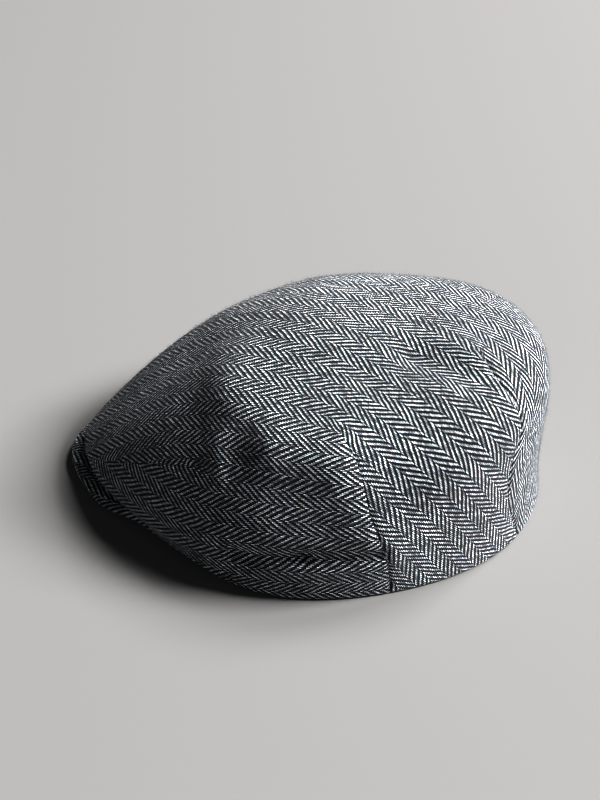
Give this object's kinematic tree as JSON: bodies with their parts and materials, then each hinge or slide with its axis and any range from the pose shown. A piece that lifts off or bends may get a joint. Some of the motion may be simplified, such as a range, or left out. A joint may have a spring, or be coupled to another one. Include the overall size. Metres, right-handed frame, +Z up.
{
  "type": "flat cap",
  "caption": "Soft herringbone tweed flat cap: a hollow darted crown that slopes down to a short stiff peak in front, open below for a head.",
  "frame": {"origin": "middle of the bounding box, on the floor that the hem lies on", "axes": "+Z up, the peak points along -Y, the back is at +Y, +X is the wearer's left"},
  "size_m": [0.2003, 0.2468, 0.097],
  "materials": {
    "crown_tweed": "charcoal and light grey herringbone wool, matt",
    "peak_tweed": "the same herringbone wool, stretched over the peak"
  },
  "bodies": {
    "root": {"crown": "crown_tweed", "peak": "peak_tweed"}
  },
  "joints": []
}
